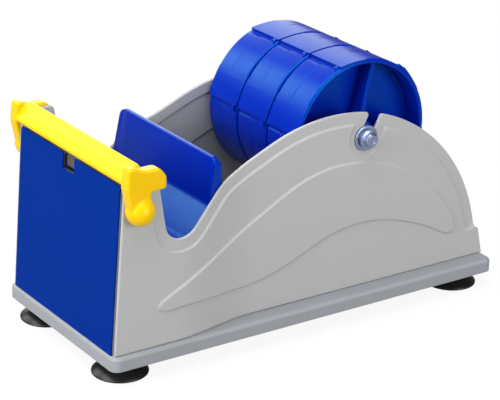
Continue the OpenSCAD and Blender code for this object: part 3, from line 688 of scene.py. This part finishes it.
def arm_outline():
    """Side view of an arm: rounded below the pivot, with a lug behind and an ear above the bar."""
    u, h = PIVOT
    return rounded([(u - 6, h - 3.4, 4.2), (u - 0.6, h - 7.6, 5), (u + 5, h - 2.6, 4),
                    (u + 2.4, h + 9.1, 1.6), (u + 10.6, h + 9.1, 1.6), (u + 10.6, h + 15.1, 3),
                    (u + 7, h + 19.4, 3.5), (u, h + 19.2, 4), (u - 6.2, h + 21.4, 1),
                    (u - 8.4, h + 21.4, 1), (u - 9.4, h + 11.9, 4)])


def bar_outline():
    """Section of the bar: a sloping strip with round edges and a low crown."""
    slope = (BAR_BACK - BAR_FRONT).normalized()
    lean = math.atan2(slope.y, slope.x)
    crown = BAR_FRONT.lerp(BAR_BACK, 0.5) + Vector((-slope.y, slope.x)) * BAR_T / 2 * 1.5
    return (arc_points(BAR_FRONT, BAR_T / 2, lean + math.pi / 2, lean + 1.5 * math.pi, 10)
            + arc_points(BAR_BACK, BAR_T / 2, lean - math.pi / 2, lean + math.pi / 2, 10) + [crown])


def as_object(name, bm):
    """A new object from a bmesh, which is freed."""
    mesh = bpy.data.meshes.new(name)
    bm.to_mesh(mesh)
    bm.free()
    return add_object(name, mesh)


class DISPENSER_OT_guard(bpy.types.Operator):
    """Builds the hinged guard as one moulding"""
    bl_idname = "dispenser.guard"
    bl_label = "Guard"

    def execute(self, context):
        sizes = context.scene.dispenser.guard
        low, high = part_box("blade_guard")
        parts = []
        for side in (1, -1):
            plate = prism("guard_arm", arm_outline(), side * ARM_INNER, side * ARM_OUTER)
            round_edges(plate, sizes.edge_round, 4)
            parts.append(evaluated(plate))
            ball = bmesh.new()
            bmesh.ops.create_uvsphere(ball, u_segments=48, v_segments=32, radius=BALL_R * MM)
            bmesh.ops.translate(ball, verts=ball.verts, vec=at(PIVOT.x - 1, side * BALL_Y, PIVOT.y))
            parts.append(as_object("guard_ball", ball))
        parts.append(prism("guard_bar", bar_outline(), -ARM_INNER - 1, ARM_INNER + 1))
        bm = bmesh.new()
        for part in parts:
            bm.from_mesh(part.data)
            bpy.data.objects.remove(part)
        piece = as_object("guard_moulding", bm)
        melt = piece.modifiers.new("Melt", "REMESH")
        melt.mode = "VOXEL"
        melt.voxel_size = sizes.voxel
        soft = piece.modifiers.new("Soften", "SMOOTH")
        soft.factor = 0.5
        soft.iterations = sizes.soften
        evaluated(piece)
        for v in piece.data.vertices:
            v.co.x = min(max(v.co.x, low.x), high.x)
            v.co.y = min(max(v.co.y, low.y), high.y)
        outward(piece)
        dress(piece, finishes()["Moulded yellow ABS"], "guard", "yellow_plastic", "blade_guard")
        return {"FINISHED"}


# Tape rest

def rest_section(drop, deep):
    """Closed section of the tape rest, its top lowered by a drop; deep gives the upright's end returns."""
    level = Vector((1, 0))
    well_f = Vector((NOTCH_U + 0.4, WELL_H))
    well_r = meet(CREASE, heading(NOTCH_SLOPE), Vector((0, WELL_H)), level)
    lip = Vector((well_f.x - (PIVOT.y - WELL_H) * math.tan(NOTCH_LEAN), PIVOT.y))
    top = Vector((REST_U, REST_H)) + (CREASE - Vector((REST_U, REST_H))).normalized() * drop
    path, bends = [lip, well_f, well_r, CREASE, top], [0.8, 5.5, 9, 4, 0.9]
    runs = [(path[i + 1] - path[i]).normalized() for i in range(4)]
    off = [REST_T * Vector((d.y, -d.x)) for d in runs]
    under = [path[0] + off[0]]
    for i in range(1, 4):
        under.append(meet(path[i] + off[i - 1], runs[i - 1], path[i] + off[i], runs[i]))
    under.append(path[4] + off[3])
    if deep:
        under[3] = Vector((CREASE.x + 8, CREASE.y - 1))
        under[4] = Vector((top.x + 4.4, top.y - 2.8))
    out = []
    for i, p in enumerate(under):
        radius = bends[i] + REST_T if 0 < i < 3 else 0.9
        a = under[i - 1] if i else path[0]
        b = under[i + 1] if i < 4 else path[4]
        out += corner(a, p, b, radius, 6)
    for i in range(4, -1, -1):
        a = path[i + 1] if i < 4 else under[4]
        b = path[i - 1] if i else under[0]
        out += corner(a, path[i], b, bends[i], 6)
    return out


class DISPENSER_OT_rest(bpy.types.Operator):
    """Builds the tape rest with its well, upright and legs"""
    bl_idname = "dispenser.rest"
    bl_label = "Tape rest"

    def execute(self, context):
        sizes = context.scene.dispenser.rest
        bend = sizes.corner / MM
        # Stations as (inset from the panel, drop of the top, end return), from one panel to the middle
        stations = []
        for k in range(8):
            a = math.pi / 2 * k / 7
            stations.append((bend * (1 - math.cos(a)), bend * (1 - math.sin(a)), True))
        stations += [(REST_T, 0, True), (REST_T + 0.15, 0, False), (9, 0, False), (24, 0, False)]
        rings = []
        for side, order in ((1, stations), (-1, reversed(stations))):
            for inset, drop, deep in order:
                rings.append([at(p.x, side * (face_at(p.x) - SHEET - ROOM - inset), p.y)
                              for p in rest_section(drop, deep)])
        points, faces = skin(rings)
        for u, top in ((35, WELL_H - 1), (52, WELL_H + 8)):
            for y in (-LEG_Y, LEG_Y):
                leg = [[at(p.x, p.y, h) for p in arc_points(Vector((u, y)), LEG_R, 0, 2 * math.pi, 32)[:-1]]
                       for h in (BASE_H, top)]
                join(points, faces, *skin(leg))
        piece = add_mesh("tape_rest_moulding", points, faces)
        outward(piece, sharp=48)
        round_edges(piece, sizes.edge_round, 2, 48)
        dress(piece, finishes()["Moulded blue ABS"], "stand", "blue_plastic", "tape_rest")
        return {"FINISHED"}


# Cores and axle

def at_axle(x, y, z):
    return at(AXLE.x + x, y, AXLE.y + z)


def ring_tree(name):
    """Geometry Nodes: a core's plain rim, less its grooves, plus its ridges and ribs, each in its place."""
    tree = bpy.data.node_groups.new(name, "GeometryNodeTree")
    face = tree.interface
    sockets = [("Rim", "NodeSocketGeometry"), ("Ridge", "NodeSocketObject"), ("Groove", "NodeSocketObject"),
               ("Rib", "NodeSocketObject"), ("Ridges", "NodeSocketInt"), ("Ribs", "NodeSocketInt"),
               ("Ridge turn", "NodeSocketFloat"), ("Rib turn", "NodeSocketFloat"),
               ("Place", "NodeSocketVector"), ("Material", "NodeSocketMaterial")]
    for label, kind in sockets:
        face.new_socket(label, in_out="INPUT", socket_type=kind)
    face.new_socket("Core", in_out="OUTPUT", socket_type="NodeSocketGeometry")
    given = add(tree, "NodeGroupInput").outputs
    index = add(tree, "GeometryNodeInputIndex")

    def round_axle(shape, count, turn):
        points = add(tree, "GeometryNodePoints", None, {"Count": given[count]})
        source = add(tree, "GeometryNodeObjectInfo", None, {"Object": given[shape]})
        pieces = add(tree, "GeometryNodeInstanceOnPoints", None,
                     {"Points": points.outputs[0], "Instance": source.outputs["Geometry"]})
        pitch = add(tree, "ShaderNodeMath", {0: 2 * math.pi}, {1: given[count]}, operation="DIVIDE")
        angle = add(tree, "ShaderNodeMath", None, {0: index.outputs[0], 1: pitch.outputs[0], 2: given[turn]},
                    operation="MULTIPLY_ADD")
        back = add(tree, "ShaderNodeMath", {1: -1.0}, {0: angle.outputs[0]}, operation="MULTIPLY")
        spin = add(tree, "ShaderNodeCombineXYZ", None, {"Y": back.outputs[0]})
        placed = add(tree, "GeometryNodeRotateInstances", {"Local Space": False},
                     {"Instances": pieces.outputs[0], "Rotation": spin.outputs[0]})
        return add(tree, "GeometryNodeRealizeInstances", None, {"Geometry": placed.outputs[0]}).outputs[0]

    cut = add(tree, "GeometryNodeMeshBoolean", None, {"Mesh 1": given["Rim"]},
              operation="DIFFERENCE", solver="EXACT")
    tree.links.new(round_axle("Groove", "Ridges", "Ridge turn"), cut.inputs["Mesh 2"])
    both = add(tree, "GeometryNodeJoinGeometry", None, {"Geometry": cut.outputs[0]})
    tree.links.new(round_axle("Ridge", "Ridges", "Ridge turn"), both.inputs[0])
    tree.links.new(round_axle("Rib", "Ribs", "Rib turn"), both.inputs[0])
    moved = add(tree, "GeometryNodeTransform", None,
                {"Geometry": both.outputs[0], "Translation": given["Place"]})
    real = add(tree, "GeometryNodeRealizeInstances", None, {"Geometry": moved.outputs[0]})
    coat = add(tree, "GeometryNodeSetMaterial", None,
               {"Geometry": real.outputs[0], "Material": given["Material"]})
    add(tree, "NodeGroupOutput", None, {"Core": coat.outputs[0]})
    return tree


def grow(piece, tree, values):
    """Runs a Geometry Nodes tree on a piece with named inputs and keeps its result as a plain mesh."""
    growth = piece.modifiers.new("Growth", "NODES")
    growth.node_group = tree
    for item in tree.interface.items_tree:
        if item.item_type == "SOCKET" and item.in_out == "INPUT" and item.name in values:
            growth[item.identifier] = values[item.name]
    return evaluated(piece)


def plain(x, y, z):
    """A point from mm round the origin."""
    return Vector((x * MM, y * MM, z * MM))


def box_rings(x, y, z):
    """The two rings of a block between pairs of x, y and z in mm."""
    return [[plain(a, b, c) for a, c in ((x[0], z[0]), (x[1], z[0]), (x[1], z[1]), (x[0], z[1]))] for b in y]


def ridge_piece():
    """A snap ridge at angle 0: a sharp drop, a long ramp behind it and a small hook near the -Y end."""
    section = [(CORE_R - 0.5, 0.0)]
    section += [(CORE_R + RIDGE_HIGH * (1 - k / 16) ** 2, -RIDGE_RAMP * k / 16) for k in range(17)]
    section += [(CORE_R - 0.06, -1.15 * RIDGE_RAMP), (CORE_R - 0.5, -1.175 * RIDGE_RAMP)]
    ring = [(r * math.cos(a), r * math.sin(a)) for r, a in section]
    half = CORE_W / 2 - 0.4
    points, faces = skin([[plain(x, y, z) for x, z in ring] for y in (-half, half)])
    # The hook's two blocks, as (far and near distance from the end, span across, height)
    for far, near, span, high in ((3.6, 1.6, (-0.2, 2.0), 0.97), (1.9, 1.2, (1.0, 2.9), 0.8)):
        rings = box_rings((CORE_R - 0.7, CORE_R + high), (far - half, near - half), span)
        join(points, faces, *skin(rings))
    piece = add_mesh("ridge", points, faces)
    outward(piece)
    round_edges(piece, 0.18 * MM, 2, 40)
    return evaluated(piece)


def block_piece(name, x, y, z, radius=0):
    """A block between pairs of x, y and z in mm, with rounded edges where a radius is given."""
    piece = add_mesh(name, *skin(box_rings(x, y, z)))
    outward(piece)
    if radius:
        round_edges(piece, radius * MM, 2)
        evaluated(piece)
    return piece


class DISPENSER_OT_cores(bpy.types.Operator):
    """Builds the three tape cores"""
    bl_idname = "dispenser.cores"
    bl_label = "Tape cores"

    def execute(self, context):
        sizes = context.scene.dispenser.core
        half, boss = CORE_W / 2 - 0.2, CORE_PITCH / 2 - 0.1
        right = [(CORE_BORE, boss), (BOSS_R, boss), (BOSS_R, WEB_HALF), (RIM_R, WEB_HALF), (RIM_R, half),
                 (CORE_R, half)]
        seam = [(CORE_R, 1.6), (CORE_R - 0.12, 1.45), (CORE_R - 0.12, 1.15), (CORE_R, 1.0)]
        left = [(r, -y) for r, y in reversed(right)]
        section = softened(right + seam + left, 1.2)
        tree = ring_tree("Tape core")
        ridge = ridge_piece()
        groove = block_piece("groove", (CORE_R - 0.6, CORE_R + 2), (3.4 - CORE_W / 2, CORE_W / 2 + 1), (0, 2))
        rib = block_piece("rib", (BOSS_R - 0.5, RIM_R + 0.4), (-9.7, 9.7), (-1.2, 1.2), 0.5)
        for word, y in (("left", CORE_PITCH), ("middle", 0.0), ("right", -CORE_PITCH)):
            piece = turned("tape_core_" + word, section, 120, plain)
            grow(piece, tree, {
                "Ridge": ridge, "Groove": groove, "Rib": rib, "Ridges": sizes.ridges, "Ribs": sizes.ribs,
                "Ridge turn": sizes.ridge_turn, "Rib turn": sizes.rib_turn, "Place": tuple(at_axle(0, y, 0)),
                "Material": finishes()["Moulded blue ABS"]})
            piece.data.shade_smooth()
            piece.data.set_sharp_from_angle(angle=math.radians(32))
            even(piece)
            dress(piece, finishes()["Moulded blue ABS"], "hub_" + word, "blue_plastic", "core_" + word)
        for tool in (ridge, groove, rib):
            bpy.data.objects.remove(tool)
        return {"FINISHED"}


def reach_y(box):
    """Near and far distance of a box from the middle, in mm."""
    return sorted(abs(p.y / MM) for p in box)


class DISPENSER_OT_axle(bpy.types.Operator):
    """Builds the axle's washers and turned caps, and dresses the axle"""
    bl_idname = "dispenser.axle"
    bl_label = "Axle"

    def execute(self, context):
        zinc = finishes()["Zinc plated steel"]
        for word, side in (("left", 1), ("right", -1)):
            inner, outer = reach_y(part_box("axle_washer_" + word))
            washer = softened([(CORE_BORE, inner), (WASHER_R, inner), (WASHER_R, outer),
                               (CORE_BORE, outer)], 0.25)
            piece = turned("zinc_washer_" + word, washer, 64, lambda x, y, z: at_axle(x, side * y, z))
            dress(piece, zinc, "spool", "plated_steel", "axle_washer_" + word)
            inner, outer = reach_y(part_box("axle_cap_" + word))
            cap = softened([(0, inner), (3.7, inner), (3.7, inner + 0.8), (4.8, inner + 0.9),
                            (4.8, inner + 2.2), (3.2, inner + 2.4), (3.2, inner + 2.8), (3.5, inner + 3),
                            (3.5, outer - 0.8), (2.8, outer), (1.5, outer), (1.3, outer - 0.25),
                            (0, outer - 0.25)], 0.12)
            piece = turned("turned_cap_" + word, cap, 64, lambda x, y, z: at_axle(x, side * y, z))
            dress(piece, zinc, "spool", "plated_steel", "axle_cap_" + word)
        paint(zinc, "axle", "axle_collar_left", "axle_collar_right")
        return {"FINISHED"}


# Feet and fasteners

def copies_tree(name):
    """Geometry Nodes: one shape copied to every point of a mesh."""
    tree = bpy.data.node_groups.new(name, "GeometryNodeTree")
    for label, kind in (("Places", "NodeSocketGeometry"), ("Shape", "NodeSocketObject"),
                        ("Material", "NodeSocketMaterial")):
        tree.interface.new_socket(label, in_out="INPUT", socket_type=kind)
    tree.interface.new_socket("Copies", in_out="OUTPUT", socket_type="NodeSocketGeometry")
    given = add(tree, "NodeGroupInput").outputs
    source = add(tree, "GeometryNodeObjectInfo", None, {"Object": given["Shape"]})
    pieces = add(tree, "GeometryNodeInstanceOnPoints", None,
                 {"Points": given["Places"], "Instance": source.outputs["Geometry"]})
    real = add(tree, "GeometryNodeRealizeInstances", None, {"Geometry": pieces.outputs[0]})
    coat = add(tree, "GeometryNodeSetMaterial", None,
               {"Geometry": real.outputs[0], "Material": given["Material"]})
    add(tree, "NodeGroupOutput", None, {"Copies": coat.outputs[0]})
    return tree


class DISPENSER_OT_feet(bpy.types.Operator):
    """Builds the four suction feet"""
    bl_idname = "dispenser.feet"
    bl_label = "Suction feet"

    def execute(self, context):
        names = ["foot_" + a + "_" + b for a in ("front", "rear") for b in ("left", "right")]
        places = []
        for name in names:
            low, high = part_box(name)
            middle = (low + high) / 2
            places.append((middle.x, middle.y, 0))
        low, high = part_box(names[0])
        lip, tall = (high.x - low.x) / 2 / MM, (high.z - low.z) / MM
        profile = softened([(0, 2.6), (lip * 0.35, 2.4), (lip * 0.62, 1.6), (lip - 2, 0), (lip, 0),
                            (lip, 0.9), (lip * 0.9, 1.9), (lip * 0.75, tall * 0.42), (lip * 0.5, tall * 0.56),
                            (lip * 0.46, tall * 0.66), (lip * 0.58, tall * 0.78), (lip * 0.58, tall),
                            (0, tall)], 0.6)
        foot = turned("foot", profile, 64, lambda x, y, z: plain(x, -z, y))
        piece = add_mesh("suction_feet", places, [])
        rubber = finishes()["Black rubber"]
        grow(piece, copies_tree("Copies at points"), {"Shape": foot, "Material": rubber})
        bpy.data.objects.remove(foot)
        piece.data.shade_smooth()
        piece.data.set_sharp_from_angle(angle=math.radians(40))
        dress(piece, rubber, "stand", "black_rubber", *names)
        paint(finishes()["Zinc plated steel"], "foot_studs", "foot_nuts", "panel_screws", "blade_screws",
              "tape_rest_screws", "pivot_pin_left", "pivot_pin_right", "guard_spring_left",
              "guard_spring_right")
        return {"FINISHED"}


# Stage

FLOOR_HALF, FLOOR_Z = 4.0, -0.0002
SOFTBOXES = (
    # Name, place, aim, width in metres and power in watts
    ("Overhead softbox", (-0.3, 0, 1.1), (0, 0, 0.05), 1.2, 16.0),
    ("Front softbox", (-1.2, -0.15, 0.45), (0, 0, 0.06), 0.7, 13.0),
    ("Side softbox", (0.3, -1.25, 0.42), (0, 0, 0.06), 0.7, 10.2),
    ("Rear softbox", (0.5, 1.3, 0.55), (0, 0, 0.08), 1.0, 6.5),
    ("Far softbox", (-0.5, 1.0, 0.7), (0, 0, 0.08), 0.5, 2.6),
)
CAMERA_AZIMUTH, CAMERA_ELEVATION = math.radians(-34.985), math.radians(21.784)
CAMERA_ROLL = math.radians(1.627)
CAMERA_TARGET, CAMERA_DISTANCE, CAMERA_LENS = Vector((-0.004653, 0, 0.052731)), 0.93053, 138.81


def pale_floor():
    """A floor that is white to the camera, keeps the object's shadow and throws little light back."""
    corners = [(-1, -1), (1, -1), (1, 1), (-1, 1)]
    floor = add_mesh("floor", [(x * FLOOR_HALF, y * FLOOR_HALF, FLOOR_Z) for x, y in corners], [(0, 1, 2, 3)])
    material, tree = blank("Pale studio floor")
    path = add(tree, "ShaderNodeLightPath")
    glow = add(tree, "ShaderNodeEmission", {"Color": (1, 1, 1, 1), "Strength": 1.2})
    matt = add(tree, "ShaderNodeBsdfDiffuse", {"Color": (0.32, 0.32, 0.32, 1)})
    part = add(tree, "ShaderNodeMath", {1: 0.76}, {0: path.outputs["Is Camera Ray"]}, operation="MULTIPLY")
    mix = add(tree, "ShaderNodeMixShader", None,
              {0: part.outputs[0], 1: matt.outputs[0], 2: glow.outputs[0]})
    add(tree, "ShaderNodeOutputMaterial", None, {"Surface": mix.outputs[0]})
    floor.data.materials.append(material)


def pale_world(scene):
    """A world that is white to the camera and dim to the object."""
    world = bpy.data.worlds.new("Pale studio")
    scene.world = world
    world.use_nodes = True
    tree = world.node_tree
    tree.nodes.clear()
    path = add(tree, "ShaderNodeLightPath")
    seen = add(tree, "ShaderNodeMath", None,
               {0: path.outputs["Is Camera Ray"], 1: path.outputs["Is Transmission Ray"]},
               operation="MAXIMUM")
    dim = add(tree, "ShaderNodeBackground", {"Color": (1, 1, 1, 1), "Strength": 0.12})
    white = add(tree, "ShaderNodeBackground", {"Color": (1, 1, 1, 1), "Strength": 1.0})
    mix = add(tree, "ShaderNodeMixShader", None,
              {0: seen.outputs[0], 1: dim.outputs[0], 2: white.outputs[0]})
    add(tree, "ShaderNodeOutputWorld", None, {"Surface": mix.outputs[0]})


def softbox(name, place, aim, wide, power):
    lamp = bpy.data.lights.new(name, "AREA")
    lamp.size = wide
    lamp.energy = power
    holder = add_object(name, lamp)
    holder.location = place
    holder.rotation_euler = (Vector(aim) - Vector(place)).to_track_quat("-Z", "Y").to_euler()


def camera():
    """A long lens in front of the object's near corner, rolled a little."""
    level = math.cos(CAMERA_ELEVATION)
    back = Vector((math.sin(CAMERA_AZIMUTH) * level, -math.cos(CAMERA_AZIMUTH) * level,
                   math.sin(CAMERA_ELEVATION)))
    flat = (-back).cross(Vector((0, 0, 1))).normalized()
    up = flat.cross(-back)
    right = math.cos(CAMERA_ROLL) * flat + math.sin(CAMERA_ROLL) * up
    top = -math.sin(CAMERA_ROLL) * flat + math.cos(CAMERA_ROLL) * up
    lens = bpy.data.cameras.new("Camera")
    lens.lens = CAMERA_LENS
    lens.sensor_width = 36
    lens.sensor_fit = "HORIZONTAL"
    holder = add_object("Camera", lens)
    turn = Matrix((right, top, back)).transposed().to_4x4()
    holder.matrix_world = Matrix.Translation(CAMERA_TARGET + CAMERA_DISTANCE * back) @ turn
    return holder


class DISPENSER_OT_stage(bpy.types.Operator):
    """Builds the floor, the light and the camera"""
    bl_idname = "dispenser.stage"
    bl_label = "Stage"

    def execute(self, context):
        scene = context.scene
        scene.view_settings.view_transform = "Standard"
        pale_floor()
        pale_world(scene)
        for box in SOFTBOXES:
            softbox(*box)
        scene.camera = camera()
        return {"FINISHED"}


class DISPENSER_PT_panel(bpy.types.Panel):
    """Lists the dispenser's pieces and sizes"""
    bl_idname = "DISPENSER_PT_panel"
    bl_label = "Tape dispenser"
    bl_space_type = "VIEW_3D"
    bl_region_type = "UI"
    bl_category = "Dispenser"

    def draw(self, context):
        for operator in OPERATORS:
            self.layout.operator(operator.bl_idname)
        for group in ("panel", "guard", "rest", "core", "finish"):
            sizes = getattr(context.scene.dispenser, group)
            box = self.layout.box()
            for key in sizes.__annotations__:
                box.prop(sizes, key)


OPERATORS = (DISPENSER_OT_panels, DISPENSER_OT_front, DISPENSER_OT_guard, DISPENSER_OT_rest,
             DISPENSER_OT_cores, DISPENSER_OT_axle, DISPENSER_OT_feet, DISPENSER_OT_stage)
GROUPS = (PanelSizes, GuardSizes, RestSizes, CoreSizes, Finishes, Dispenser)
CLASSES = GROUPS + OPERATORS + (DISPENSER_PT_panel,)


def register():
    for cls in CLASSES:
        bpy.utils.register_class(cls)
    bpy.types.Scene.dispenser = PointerProperty(type=Dispenser)


def unregister():
    del bpy.types.Scene.dispenser
    for cls in reversed(CLASSES):
        bpy.utils.unregister_class(cls)


def main():
    register()
    bpy.ops.dispenser.panels()
    bpy.ops.dispenser.front()
    bpy.ops.dispenser.guard()
    bpy.ops.dispenser.rest()
    bpy.ops.dispenser.cores()
    bpy.ops.dispenser.axle()
    bpy.ops.dispenser.feet()
    bpy.ops.dispenser.stage()


if __name__ == "__main__":
    main()
